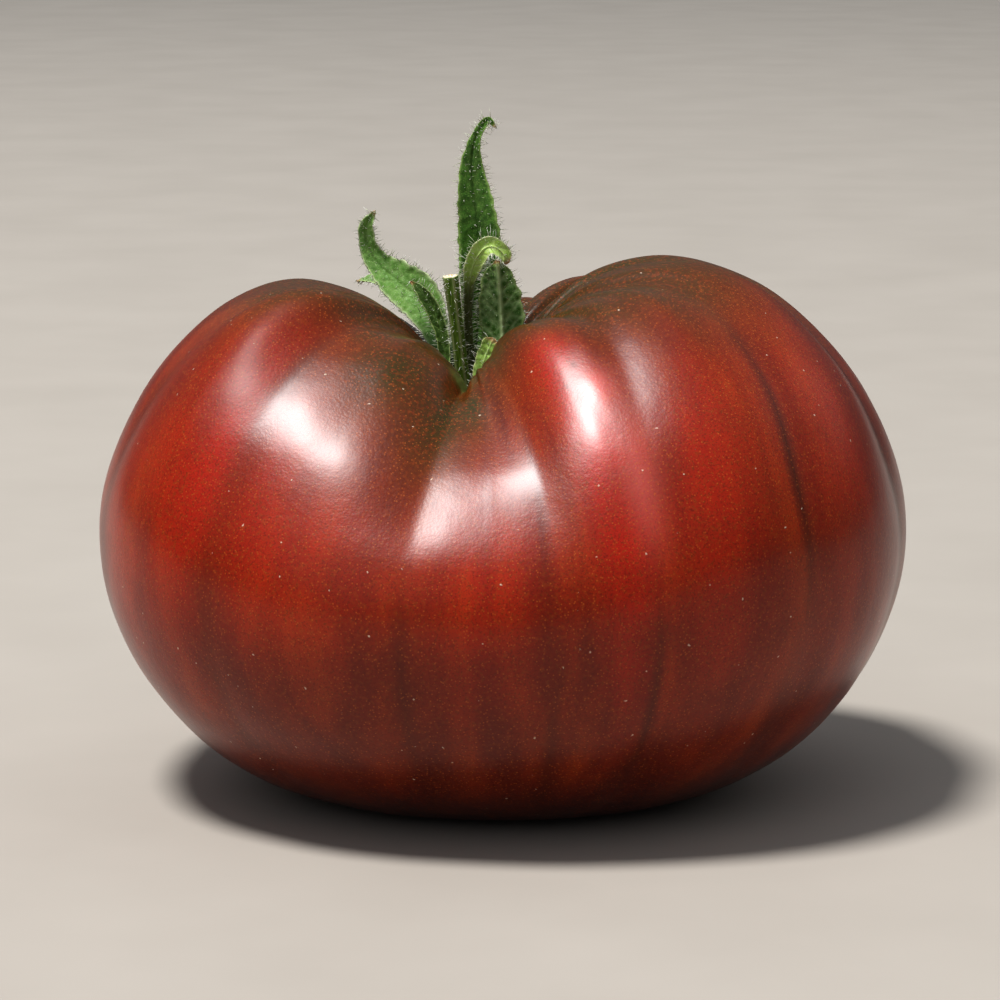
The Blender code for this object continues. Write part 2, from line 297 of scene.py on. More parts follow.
# the strength of a kind of colour mark all over the skin
def ripening(kind, lobePlace, place):
    total = np.zeros(len(place))
    for lobe, row, lobeSpread, rowSpread, strength in ripeningMarks[kind]:
        away = (lobePlace - lobe + lobeCount / 2) % lobeCount - lobeCount / 2
        spot = strength * np.exp(-((away / lobeSpread) ** 2) - ((place - row) / rowSpread) ** 2)
        total = total + spot * (1.0 - total)
    return total


# Ripe tomato skin: a thin, waxy cuticle over coloured flesh, grown and not worked. It is satin,
# with a fine grain, so lights spread wide on it. The colour is under the gloss: mahogany over
# red, drawn out along the fruit, and peppered with pale pin points. Painted shade darkens it
# towards the blossom end, and its dark lines along the creases are partly painted shade.
def ripeTomatoSkin():
    skin, tree = newMaterial("ripeTomatoSkin")
    position = addNode(tree, "ShaderNodeTexCoord").outputs["Object"]
    marks = {
        name: addNode(tree, "ShaderNodeAttribute", attribute_name=name).outputs["Fac"]
        for name in ("blush", "olive", "streakAndCreaseShade", "pink", "dull", "cork", "low")
    }
    meridian = addNode(tree, "ShaderNodeAttribute", attribute_name="meridian").outputs["Vector"]

    # bands 8 mm and 1.6 mm wide that run from stem to blossom end
    wide = addNode(tree, "ShaderNodeTexNoise", {"Vector": meridian, "Scale": 1 / 8.0, "Detail": 3.0})
    fine = addNode(tree, "ShaderNodeTexNoise", {"Vector": meridian, "Scale": 1 / 1.6, "Detail": 2.0})
    # clouds 9 mm across and mottling 0.5 mm and 0.25 mm across, which do not follow the bands
    cloud = addNode(tree, "ShaderNodeTexNoise", {"Vector": position, "Scale": scaleFor(9.0), "Detail": 3.0})
    mottle = addNode(tree, "ShaderNodeTexNoise", {"Vector": position, "Scale": scaleFor(0.5), "Detail": 2.0})
    speck = addNode(tree, "ShaderNodeTexNoise", {"Vector": position, "Scale": scaleFor(0.25), "Detail": 1.0})

    colour = addNode(tree, "ShaderNodeValToRGB", {"Fac": wide.outputs["Fac"]}, stops=[
        (0.25, "#651a03"), (0.45, "#7f2405"), (0.58, "#932f08"), (0.78, "#ad420c"),
    ]).outputs["Color"]
    # where in its noise each pattern starts to show and is full, and how strong it is there
    bands, clouds, mottling, specks = (
        addNode(tree, "ShaderNodeMapRange", {
            "Value": texture.outputs["Fac"], "From Min": start, "From Max": full, "To Max": strength,
        }).outputs["Result"]
        for texture, start, full, strength in (
            (fine, 0.4, 0.75, 0.25), (cloud, 0.45, 0.75, 0.5), (mottle, 0.5, 0.7, 0.5),
            (speck, 0.5, 0.68, 0.45),
        )
    )
    # these marks are broken up by the bands before they colour the skin
    broken = addNode(tree, "ShaderNodeMapRange", {
        "Value": wide.outputs["Fac"], "From Min": 0.3, "From Max": 0.62, "To Min": 0.75,
    }).outputs["Result"]
    # the dark lines along the creases, among these, are partly painted shade
    strengths = {
        name: addNode(tree, "ShaderNodeMath", {0: marks[name], 1: broken}, operation="MULTIPLY").outputs[0]
        for name in ("blush", "olive", "streakAndCreaseShade", "pink")
    }
    # the "low" layer is painted shade: it darkens the lower skin to near black brown
    layers = [
        (bands, "#6a1805"), (strengths["blush"], "#bd1f0a"), (clouds, "#6b2007"),
        (strengths["olive"], "#373409"), (mottling, "#984410"), (strengths["streakAndCreaseShade"], "#2c1606"),
        (specks, "#521305"), (strengths["pink"], "#e8736c"), (marks["low"], "#300a03"),
        (marks["cork"], "#8f7048"),
    ]

    # pin points 0.18 mm across and some 0.7 mm apart, drawn a little large to show
    pins = addNode(tree, "ShaderNodeTexVoronoi", {"Vector": position, "Scale": scaleFor(0.5)})
    pinDots = addNode(tree, "ShaderNodeMapRange", {
        "Value": pins.outputs["Distance"], "From Min": 0.08, "From Max": 0.28, "To Min": 0.5, "To Max": 0.0,
    }).outputs["Result"]
    layers.append((pinDots, "#c46a28"))
    # dust and dried specks 0.25 mm across and some 8 mm apart, which the mottling makes uneven
    uneven = addNode(tree, "ShaderNodeVectorMath", {
        0: mottle.outputs["Color"], 1: (0.5 * mm,) * 3, 2: position,
    }, operation="MULTIPLY_ADD").outputs[0]
    dust = addNode(tree, "ShaderNodeTexVoronoi", {"Vector": uneven, "Scale": scaleFor(2.8)})
    dustDots = addNode(tree, "ShaderNodeMapRange", {
        "Value": dust.outputs["Distance"], "From Min": 0.025, "From Max": 0.065,
        "To Min": 0.65, "To Max": 0.0,
    }).outputs["Result"]
    layers.append((dustDots, "#ecd9c0"))
    for strength, tint in layers:
        colour = addNode(
            tree, "ShaderNodeMix", {0: strength, 6: colour, 7: tint}, data_type="RGBA",
        ).outputs[2]

    # grain of the cuticle, 0.35 mm, and a faint waviness, 1.1 mm
    grain = addNode(tree, "ShaderNodeTexNoise", {"Vector": position, "Scale": scaleFor(0.35), "Detail": 1.0})
    waves = addNode(tree, "ShaderNodeTexNoise", {"Vector": position, "Scale": scaleFor(1.1), "Detail": 1.0})
    normal = addNode(tree, "ShaderNodeBump", {
        "Height": grain.outputs["Fac"], "Distance": 0.04 * mm, "Strength": 0.7,
    }).outputs["Normal"]
    normal = addNode(tree, "ShaderNodeBump", {
        "Height": waves.outputs["Fac"], "Distance": 0.06 * mm, "Strength": 0.6, "Normal": normal,
    }).outputs["Normal"]
    normal = addNode(tree, "ShaderNodeBump", {
        "Height": dustDots, "Distance": 0.08 * mm, "Strength": 0.6, "Normal": normal,
    }).outputs["Normal"]
    gloss = addNode(tree, "ShaderNodeMapRange", {
        "Value": cloud.outputs["Fac"], "From Min": 0.3, "From Max": 0.7, "To Min": 0.33, "To Max": 0.41,
    }).outputs["Result"]
    # where the wax is thick and cloudy the skin is dull, and cork has no wax
    gloss = addNode(tree, "ShaderNodeMix", {0: marks["dull"], 2: gloss, 3: 0.6}).outputs[0]
    gloss = addNode(tree, "ShaderNodeMix", {0: marks["cork"], 2: gloss, 3: 0.85}).outputs[0]
    bare = addNode(
        tree, "ShaderNodeMath", {0: marks["dull"], 1: marks["cork"]}, operation="MAXIMUM",
    ).outputs[0]
    waxed = addNode(tree, "ShaderNodeMapRange", {
        "Value": bare, "To Min": 0.55, "To Max": 0.05,
    }).outputs["Result"]
    shader = addNode(tree, "ShaderNodeBsdfPrincipled", {
        "Base Color": colour, "Roughness": gloss, "Normal": normal, "IOR": 1.45,
        "Specular IOR Level": 0.22,
        "Subsurface Weight": 0.12, "Subsurface Scale": 2.0 * mm, "Subsurface Radius": (1.0, 0.25, 0.1),
        "Coat Weight": waxed, "Coat Roughness": 0.28, "Coat IOR": 1.42,
    })
    addNode(tree, "ShaderNodeOutputMaterial", {"Surface": shader.outputs["BSDF"]})
    return skin


skinSizes = {
    "bandStep": 1.4,  # from row to row in the layout of the bands, much less than on the fruit
    "swell": (0.22, 13.0),  # height and size of the slow waves
    "ripple": (0.02, 3.2),  # and of the small ones, which make the gloss uneven
    "furrows": 31,  # round the stem
    "furrowDepth": 0.16,
    "dentDepth": 0.15,  # where the pink marks are
    # between these rows a mark comes or goes; the last number is how strong it gets
    "furrowStart": (1.0, 2.2),
    "furrowEnd": (4.0, 7.0),
    "corkRing": (1.05, 1.75),
    "scar": (16.55, 16.8),
    "oliveShoulder": (4.6, 7.6, 0.95),
    # painted shade under the fruit, darker from these rows down to the blossom end
    "paintedShadeUnderside": (10.5, 15.0, 0.85),
}


def makeFruit():
    sizes = skinSizes
    around = fruitSizes["pointsPerLobe"] * lobeCount
    rows = np.linspace(0.0, lastRow, fruitSizes["rings"] + 2)[1:-1]
    turns = np.arange(around) / fruitSizes["pointsPerLobe"]
    place = np.concatenate([np.repeat(rows, around), [0.0, lastRow]])
    lobePlace = np.concatenate([np.tile(turns, len(rows)), [0.0, 0.0]])
    points = fruitPoints(lobePlace, place)

    # the skin laid out for its bands, which draws them out along the fruit
    turn = lobePlace / lobeCount * math.tau
    belly = np.sin(np.clip(place / lastRow, 0.0, 1.0) * math.pi)
    girth = fruitSizes["halfWidth"] * (0.25 + 0.75 * belly)
    meridian = np.stack([girth * np.cos(turn), girth * np.sin(turn), place * sizes["bandStep"]], -1)

    # out along the skin's own normal: slow swellings, ripples and the furrows round the stem
    faces = ringFaces(len(rows), around)
    bare = bpy.data.meshes.new("bare")
    bare.from_pydata(points.tolist(), [], faces)
    normals = np.zeros(points.size)
    bare.vertex_normals.foreach_get("vector", normals)
    normals = normals.reshape(points.shape)
    bpy.data.meshes.remove(bare)
    # none of them under the calyx or where the fruit stands
    free = ease(0.6, 2.5, place) * ease(0.3, 4.0, points[:, 2])
    (swell, swellSize), (ripple, rippleSize) = sizes["swell"], sizes["ripple"]
    lift = swell * softNoise(points, swellSize) + ripple * softNoise(points, rippleSize, 5.0)
    furrows = np.sin(turn * sizes["furrows"] + 2.0 * softNoise(meridian, 9.0, 2.0)) * sizes["furrowDepth"]
    furrows = furrows * ease(*sizes["furrowStart"], place) * (1.0 - ease(*sizes["furrowEnd"], place))
    dents = sizes["dentDepth"] * ripening("pink", lobePlace, place)
    points = points + normals * ((lift + furrows) * free - dents * free)[:, None]
    points[:, 2] = np.maximum(points[:, 2], 0.0)

    # the calyx left a corky ring, and the flower a scar underneath
    scarNoise = 0.25 * softNoise(points, 1.1, 8.0) * ease(14.0, 16.5, place)
    ring = 1.0 - ease(*sizes["corkRing"], place + 0.2 * softNoise(points, 1.4))
    cork = np.maximum(ring, ease(*sizes["scar"], place + scarNoise))
    traits = {kind: ripening(kind, lobePlace, place) for kind in ripeningMarks}
    start, end, strength = sizes["oliveShoulder"]
    shoulder = strength * (1.0 - ease(start, end, place + 0.8 * softNoise(meridian, 7.0, 3.0)))
    traits["olive"] = np.maximum(traits["olive"], shoulder) * (1.0 - traits["blush"])
    # painted shade: the lower skin darkens towards the blossom end
    start, end, strength = sizes["paintedShadeUnderside"]
    traits["low"] = strength * ease(start, end, place)
    traits["cork"] = cork
    traits["meridian"] = meridian
    fruit = newPiece("tomatoFruit", points, faces, traits, [ripeTomatoSkin()])
    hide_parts("fruit")
    print("fruit made:", len(faces), "faces")


calyxSizes = {
    "middle": (-4.6, 0.0),
    "radius": 2.3,
    "bottom": 50.7,
    "top": 53.0,
    # a button, upwards: a narrow foot, a round edge and a low dome, as shares of radius and height
    "outwards": (0.0, 0.45, 0.62, 0.95, 1.0, 0.8, 0.4, 0.0),
    "upwards": (0.0, 0.0, 0.12, 0.4, 0.6, 0.85, 1.0, 1.05),
    "rimReach": 0.86,  # of the radius, between the sepals
    "rootReach": 0.16,  # how much farther it swells under each of them
    "rootSpread": 13.0,  # degrees
    "rootLift": 0.12,
    "around": 96,
    "rings": 26,
    "sepalFootReach": 0.87,  # of the radius
    "sepalFootHeight": 52.7,
    "sepalFootWidth": 0.95,
    "colours": ("#43601c", "#2f4a12", "#6f8a3c", "#93a860", "#1d2c0b"),
}


# Tomato leaf: a soft matt blade with a felt of short hairs, grown in small quilted cells between
# its veins. It looks dull and dark above and paler below, with pale margins and a dry brown tip.
# Towards its foot it is painted darker, as painted shade.
def tomatoLeaf(name, face, shade, vein, edge, dusk):
    leaf, tree = newMaterial(name)
    position = addNode(tree, "ShaderNodeTexCoord").outputs["Object"]
    ribs, margin, under, foot, tip = (
        addNode(tree, "ShaderNodeAttribute", attribute_name=trait).outputs["Fac"]
        for trait in ("rib", "margin", "under", "foot", "tip")
    )
    # quilting 0.8 mm across, clouds 3 mm across and a felt of flecks 0.18 mm across
    cells = addNode(tree, "ShaderNodeTexVoronoi", {"Vector": position, "Scale": scaleFor(0.8)})
    cloud = addNode(tree, "ShaderNodeTexNoise", {"Vector": position, "Scale": scaleFor(3.0), "Detail": 4.0})
    felt = addNode(tree, "ShaderNodeTexNoise", {"Vector": position, "Scale": scaleFor(0.18), "Detail": 2.0})
    quilt, clouds, flecks = (
        addNode(tree, "ShaderNodeMapRange", {
            "Value": pattern, "From Min": start, "From Max": full, "To Max": strength,
        }).outputs["Result"]
        for pattern, start, full, strength in (
            (cells.outputs["Distance"], 0.25, 0.75, 0.3), (cloud.outputs["Fac"], 0.4, 0.7, 0.55),
            (felt.outputs["Fac"], 0.6, 0.7, 0.55),
        )
    )
    paler = addNode(tree, "ShaderNodeMath", {0: under, 1: 0.3}, operation="MULTIPLY").outputs[0]
    underside, dryTip = "#7f9a52", "#a5683c"
    colour = face
    # the foot layer is painted shade, darkening the blade towards the calyx
    for strength, tint in [
        (clouds, shade), (quilt, vein), (paler, underside), (flecks, edge), (ribs, vein), (margin, edge),
        (foot, dusk), (tip, dryTip),
    ]:
        colour = addNode(
            tree, "ShaderNodeMix", {0: strength, 6: colour, 7: tint}, data_type="RGBA",
        ).outputs[2]
    normal = addNode(tree, "ShaderNodeBump", {
        "Height": cells.outputs["Distance"], "Distance": 0.14 * mm, "Strength": 0.6,
    }, invert=True).outputs["Normal"]
    normal = addNode(tree, "ShaderNodeBump", {
        "Height": felt.outputs["Fac"], "Distance": 0.08 * mm, "Strength": 0.6, "Normal": normal,
    }).outputs["Normal"]
    shader = addNode(tree, "ShaderNodeBsdfPrincipled", {
        "Base Color": colour, "Roughness": 0.42, "Normal": normal, "IOR": 1.45,
        "Subsurface Weight": 0.1, "Subsurface Scale": 1.0 * mm, "Subsurface Radius": (0.4, 1.0, 0.15),
        "Sheen Weight": 0.25, "Sheen Roughness": 0.4,
    })
    addNode(tree, "ShaderNodeOutputMaterial", {"Surface": shader.outputs["BSDF"]})
    return leaf


# Plant hair: a clear tapered cell, white where it catches the light.
def plantHair():
    hair, tree = newMaterial("plantHair")
    position = addNode(tree, "ShaderNodeTexCoord").outputs["Object"]
    tint = addNode(tree, "ShaderNodeTexNoise", {"Vector": position, "Scale": scaleFor(2.0)})
    colour = addNode(tree, "ShaderNodeValToRGB", {"Fac": tint.outputs["Fac"]}, stops=[
        (0.35, "#e2e6c8"), (0.6, "#fbfaf0"),
    ]).outputs["Color"]
    shader = addNode(tree, "ShaderNodeBsdfPrincipled", {
        "Base Color": colour, "Roughness": 0.35, "IOR": 1.4, "Transmission Weight": 0.3,
    })
    addNode(tree, "ShaderNodeOutputMaterial", {"Surface": shader.outputs["BSDF"]})
    return hair


hairSizes = {
    "width": 0.11,  # drawn about twice as thick as a real hair, so that it shows
    "taper": 0.6,  # of its width, over its length
    "bend": (-0.3, 0.3),  # of its length
    "sunk": 0.05,  # how deep its root is
    # along the margins of a blade; a lean is forwards and then to the side
    "marginSpacing": 0.3,
    "marginLength": (0.6, 1.5),
    "marginLean": ((-0.3, 0.7), (-0.7, 0.7)),
    # on its faces
    "facePerSquare": 0.9,  # on each square millimetre
    "faceLength": (0.3, 0.7),
    "faceLean": ((-0.4, 0.6), (-0.5, 0.5)),
    "faceSunk": 0.03,
    # on the stalk
    "stalkCount": 340,
    "stalkLength": (0.35, 1.0),
    "stalkLonger": (0.7, 0.2),  # how much longer some are, and how many of them
    "stalkLean": ((-0.5, 0.6), (-0.3, 0.3)),
}


# a random lean: so far along one direction and so far along another
def leaning(chance, lean, forward, side):
    return forward * chance.uniform(*lean[0]) + side * chance.uniform(*lean[1])


# hairs as thin closed cones with a slight bend, from roots, directions and lengths
def makeHairs(name, roots, directions, lengths, material, chance):
    points, faces = [], []
    for root, direction, length in zip(roots, unit(directions), lengths):
        side = unit(np.cross(direction, (0.3, 0.2, 0.93)))
        other = np.cross(direction, side)
        bend = leaning(chance, [hairSizes["bend"]] * 2, side, other) * length
        first = len(points)
        for share in (0.0, 0.5):
            middle = root + direction * length * share + bend * share**2
            radius = hairSizes["width"] / 2.0 * (1.0 - hairSizes["taper"] * share)
            for corner in range(3):
                turn = corner / 3.0 * math.tau
                points.append(middle + radius * (side * math.cos(turn) + other * math.sin(turn)))
        points.append(root + direction * length + bend)
        faces.append((first + 2, first + 1, first))
        for corner in range(3):
            after = (corner + 1) % 3
            faces.append((first + corner, first + after, first + 3 + after, first + 3 + corner))
            faces.append((first + 3 + corner, first + 3 + after, first + 6))
    hairs = newPiece(name, np.array(points), faces, {}, [material])


def makeCalyxBase(leafMaterial):
    sizes = calyxSizes
    around, rings, middle = sizes["around"], sizes["rings"], sizes["middle"]
    place = np.linspace(0.0, 1.0, rings + 2)[1:-1] * (len(sizes["outwards"]) - 1)
    radius = sizes["radius"] * alongRow(sizes["outwards"], place)
    rise = alongRow(sizes["upwards"], place)
    height = sizes["bottom"] + (sizes["top"] - sizes["bottom"]) * rise
    turn = np.arange(around) / around * math.tau
    roots = 0
    for sepal in sepalShapes.values():
        away = (np.degrees(turn) - sepal["direction"] + 180.0) % 360.0 - 180.0
        roots = roots + np.exp(-(away / sizes["rootSpread"]) ** 2)
    reach = radius[:, None] * (sizes["rimReach"] + sizes["rootReach"] * roots[None, :])
    points = np.stack([
        middle[0] + reach * np.cos(turn),
        middle[1] + reach * np.sin(turn),
        height[:, None] + sizes["rootLift"] * roots[None, :] * (rise[:, None] > 0.5),
    ], -1).reshape(-1, 3)
    points = np.vstack([points, [(*middle, sizes["bottom"]), (*middle, height[-1] + 0.02)]])
    faces = ringFaces(rings, around)
    traits = {trait: np.zeros(len(points)) for trait in ("rib", "margin", "under", "foot", "tip")}
    base = newPiece("calyxDisc", points, faces, traits, [leafMaterial])
    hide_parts("calyx_base")
    print("calyx base made")


stalkShape = {
    "route": (
        (-4.6, 0.0, 52.6), (-5.3, -0.7, 56.0), (-6.0, -1.1, 62.0), (-6.6, -1.4, 67.0), (-7.0, -1.6, 70.4),
    ),
    "radius": 1.05,
    "swelling": (1.25, 1.0, 0.92, 0.98, 1.08),  # of the radius, at the points of the route
    "ridges": 5,
    "ridgeDepth": 0.12,  # of the radius
    # the cut face, inwards from a rounded rim to a slightly sunken pith: share of the radius, how
    # far above the end of the route, and how much of the surface is pith
    "cutRings": ((0.97, 0.1, 0.5), (0.9, 0.16, 0.9), (0.8, 0.12, 1.0), (0.6, -0.02, 1.0), (0.3, -0.12, 1.0)),
    "cutRoughness": 0.12,
    "rings": 90,
    "around": 60,
}


# Green stalk: a juicy stem with soft ridges, drying to straw along them, and pale pith where it
# was cut across.
def greenStalk():
    stalk, tree = newMaterial("greenStalk")
    position = addNode(tree, "ShaderNodeTexCoord").outputs["Object"]
    ridge, cut = (
        addNode(tree, "ShaderNodeAttribute", attribute_name=trait).outputs["Fac"] for trait in ("rib", "cut")
    )
    # fibres 0.3 mm wide that run up the stalk
    stretched = addNode(tree, "ShaderNodeMapping", {"Vector": position, "Scale": (1.0, 1.0, 0.12)})
    fibres = addNode(tree, "ShaderNodeTexNoise", {
        "Vector": stretched.outputs["Vector"], "Scale": scaleFor(0.3), "Detail": 2.0,
    })
    colour = addNode(tree, "ShaderNodeValToRGB", {"Fac": fibres.outputs["Fac"]}, stops=[
        (0.3, "#46601a"), (0.55, "#648428"), (0.75, "#8aa648"),
    ]).outputs["Color"]
    pith = addNode(tree, "ShaderNodeValToRGB", {"Fac": fibres.outputs["Fac"]}, stops=[
        (0.35, "#c9a27c"), (0.5, "#eee2c4"), (0.7, "#f4ecd8"),
    ]).outputs["Color"]
    for strength, tint in [(ridge, "#a5ad7d"), (cut, pith)]:
        colour = addNode(
            tree, "ShaderNodeMix", {0: strength, 6: colour, 7: tint}, data_type="RGBA",
        ).outputs[2]
    normal = addNode(tree, "ShaderNodeBump", {
        "Height": fibres.outputs["Fac"], "Distance": 0.1 * mm, "Strength": 0.6,
    }).outputs["Normal"]
    shader = addNode(tree, "ShaderNodeBsdfPrincipled", {
        "Base Color": colour, "Roughness": 0.5, "Normal": normal, "IOR": 1.4,
        "Subsurface Weight": 0.1, "Subsurface Scale": 1.0 * mm, "Subsurface Radius": (0.4, 1.0, 0.15),
    })
    addNode(tree, "ShaderNodeOutputMaterial", {"Surface": shader.outputs["BSDF"]})
    return stalk


def makeStalk(hairMaterial):
    shape = stalkShape
    chance = random.Random(4)
    share = np.linspace(0.0, 1.0, shape["rings"])
    place = share * (len(shape["route"]) - 1)
    middle = alongRow(shape["route"], place)
    forward = unit(np.gradient(middle, axis=0))
    side = unit(np.cross(forward, (0.0, -1.0, 0.15)))
    front = np.cross(side, forward)
    turn = np.arange(shape["around"]) / shape["around"] * math.tau
    ridge = 0.5 + 0.5 * np.cos(turn * shape["ridges"] + 0.4)
    radius = shape["radius"] * alongRow(shape["swelling"], place)
    reach = radius[:, None] * (1.0 - shape["ridgeDepth"] * (1.0 - ridge[None, :] ** 1.5))
    around = (
        side[:, None, :] * (reach * np.cos(turn))[..., None]
        + front[:, None, :] * (reach * np.sin(turn))[..., None]
    )
    tube = middle[:, None, :] + around
    inwards, above, pith = np.array(shape["cutRings"]).T
    lids = len(pith)
    lid = [middle[-1] + around[-1] * share + forward[-1] * lift for share, lift in zip(inwards, above)]
    rings = np.concatenate([tube, lid])
    bumps = softNoise(rings[-lids:].reshape(-1, 3), 0.5).reshape(lids, -1, 1)
    rings[-lids:] += forward[-1] * shape["cutRoughness"] * bumps
    ends = [middle[0], middle[-1] + forward[-1] * above[-1]]
    points = np.vstack([rings.reshape(-1, 3), ends])
    faces = ringFaces(len(rings), shape["around"])
    strength = np.tile(np.clip(ridge * 1.6 - 0.85, 0.0, 0.75), (len(rings), 1))
    strength[-lids:] = 0.0
    cut = np.zeros((len(rings), shape["around"]))
    cut[-lids:] = pith[:, None]
    traits = {"rib": [*strength.ravel(), 0.0, 0.0], "cut": [*cut.ravel(), 0.0, 1.0]}
    stalk = newPiece("stalkStub", points, faces, traits, [greenStalk()])
    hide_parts("stalk")

    roots, directions, lengths = [], [], []
    longer, longerShare = hairSizes["stalkLonger"]
    for each in range(hairSizes["stalkCount"]):
        ring = int(chance.uniform(0.12, 1.0) * (shape["rings"] - 1))
        at = chance.randrange(shape["around"])
        out = around[ring, at] / np.linalg.norm(around[ring, at])
        roots.append(tube[ring, at] - out * hairSizes["sunk"])
        directions.append(out + leaning(chance, hairSizes["stalkLean"], forward[ring], side[ring]))
        lengths.append(chance.uniform(*hairSizes["stalkLength"]) + longer * (chance.random() < longerShare))
    makeHairs("stalkHairs", roots, directions, lengths, hairMaterial, chance)
    print("stalk made")


# each blade: the way its foot leaves the calyx, in degrees; points of its middle line, with its
# width there; where its upper face looks at foot and tip; how far its halves fold up and its
# margins roll, in degrees; how far it waves; how far its midrib stands out, or sinks if below 0;
# the length over which its tip closes; how hairy it is; what share of it, from the foot, is
# darkened with painted shade; and its colours: face, shade, vein, edge and painted foot shade
sepalShapes = {
    "sepal_tall": dict(
        direction=72,
        line=((-3.6, 3.4, 58.0, 3.0), (-3.1, 4.2, 65.0, 5.0), (-2.9, 4.6, 72.0, 6.3),
              (-3.5, 5.0, 79.0, 5.3), (-4.1, 5.4, 84.2, 3.5), (-3.6, 5.3, 88.3, 1.7),
              (-2.0, 4.9, 90.8, 1.1), (-0.8, 4.5, 89.8, 0.6)),
        faces=((0.1, -1.0, 0.1), (-0.2, -1.0, 0.3)),
        fold=24, roll=-10, wave=0.25, rib=-0.22, tip=1.6, hairy=1.0,
        dusk=0.12, colours=("#3a6116", "#24470c", "#6f9a40", "#9db968", "#1d330b"), slot="sepal",
    ),
    "sepal_right": dict(
        direction=-12,
        line=((-1.5, 0.2, 56.5, 2.6), (-0.1, 0.8, 60.5, 5.2), (-0.2, 1.3, 65.5, 6.2),
              (-0.5, 1.5, 69.5, 4.8), (-0.7, 1.5, 72.4, 1.2)),
        faces=((-0.3, -1.0, 0.2), (0.2, -1.0, 0.2)),
        fold=-14, roll=10, wave=0.15, rib=0.3, tip=1.4, hairy=0.8,
        dusk=0.2, colours=("#3f6a1b", "#2a4d10", "#c2d79c", "#a9bd7c", "#20360c"), slot="sepal",
    ),
    # its pale face is partly painted light from above, and its darker lower share is painted shade
    "sepal_arched": dict(
        direction=32,
        line=((-4.1, 1.6, 57.5, 1.3), (-4.6, 1.6, 63.0, 1.2), (-4.6, 1.2, 68.4, 1.5),
              (-4.0, 0.6, 71.6, 2.5), (-2.9, 0.2, 73.6, 3.0), (-1.5, 0.1, 74.2, 2.9),
              (-0.1, 0.2, 73.3, 2.4), (0.7, 0.4, 71.9, 1.5)),
        faces=((0.0, -1.0, 0.1), (0.5, -0.8, 0.5)),
        fold=26, roll=8, wave=0.18, rib=0.25, tip=0.9, hairy=1.5,
        dusk=0.42, colours=("#a2c254", "#7da33c", "#cfe09a", "#e3ebbc", "#37381a"), slot="sepal_pale",
    ),
    "sepal_short": dict(
        direction=-58,
        line=((-3.3, -2.6, 55.4, 1.8), (-2.5, -3.2, 58.8, 2.7), (-1.5, -3.8, 61.4, 2.6),
              (-1.0, -4.0, 62.4, 1.6)),
        faces=((-0.4, -0.9, 0.4), (-0.2, -0.9, 0.5)),
        fold=16, roll=-8, wave=0.2, rib=0.12, tip=0.5, hairy=0.6,
        dusk=0.15, colours=("#9cc257", "#7fa845", "#c0d888", "#dfe6a8", "#3f5a1a"), slot="sepal_pale",
    ),
    "sepal_left_curled": dict(
        direction=152,
        line=((-7.3, 3.4, 57.0, 2.0), (-9.0, 6.0, 61.8, 4.2), (-11.2, 7.9, 65.6, 6.4),
              (-14.2, 9.2, 68.2, 6.2), (-16.9, 10.0, 70.4, 4.2), (-18.5, 10.4, 73.0, 2.6),
              (-18.7, 10.3, 75.8, 2.1), (-17.4, 9.9, 78.0, 0.7)),
        faces=((-0.2, -1.0, 0.5), (0.3, -1.0, 0.4)),
        fold=18, roll=16, wave=0.22, rib=-0.14, tip=1.3, hairy=1.1,
        dusk=0.3, colours=("#6f9a45", "#4d7a30", "#9dbd72", "#cddba8", "#1f370d"), slot="sepal",
    ),
    "sepal_left_dark": dict(
        direction=190,
        line=((-7.4, 0.9, 56.6, 1.5), (-7.9, 1.8, 61.2, 2.0), (-9.1, 2.5, 64.6, 2.3),
              (-10.7, 3.0, 67.2, 2.0), (-12.5, 3.4, 69.2, 0.7)),
        faces=((-0.6, -0.9, 0.3), (0.2, -1.0, 0.6)),
        fold=30, roll=6, wave=0.12, rib=0.12, tip=1.2, hairy=0.8,
        dusk=0.2, colours=("#35510f", "#26400c", "#5c7a30", "#a9bd78", "#1b2e0a"), slot="sepal",
    ),
    "sepal_left_back": dict(
        direction=111,
        line=((-6.9, 5.3, 57.4, 2.0), (-9.6, 9.8, 62.6, 3.4), (-13.4, 13.8, 66.2, 4.0),
              (-17.2, 16.4, 67.6, 2.8), (-20.4, 17.8, 67.2, 0.7)),
        faces=((0.2, -0.6, 0.8), (0.0, -0.3, 1.0)),
        fold=14, roll=-6, wave=0.2, rib=-0.14, tip=1.3, hairy=0.9,
        dusk=0.25, colours=("#6f9447", "#54783a", "#94b06a", "#b9cb8e", "#20360e"), slot="sepal_pale",
    ),
}

bladeSizes = {
    "rows": 130,
    "columns": 31,
    "leastWidth": 0.3,
    "midThickness": 0.42,
    "marginThickness": 0.14,
    "thickReach": 0.7,  # how far from the midrib the blade is thick
    "tipThickness": 0.35,  # of the thickness, where the blade is narrow
    "wander": 0.13,  # how far the margins go in and out, as a share of half the width
    "waveStep": 1.9,  # along the blade for each radian of its waves
    "waveLag": 1.3,  # radians, one way on each half
    "veinSpacing": 1.9,
    "veinSlant": 1.1,
    "veinWidth": 0.12,  # of the spacing
    "midribWidth": 0.22,
    "puffSize": 0.8,
    "puffHeight": 0.07,
    "veinDepth": 0.07,
    "dryLength": (0.2, 0.9),  # from the tip, where the brown begins to fade and where it ends
}


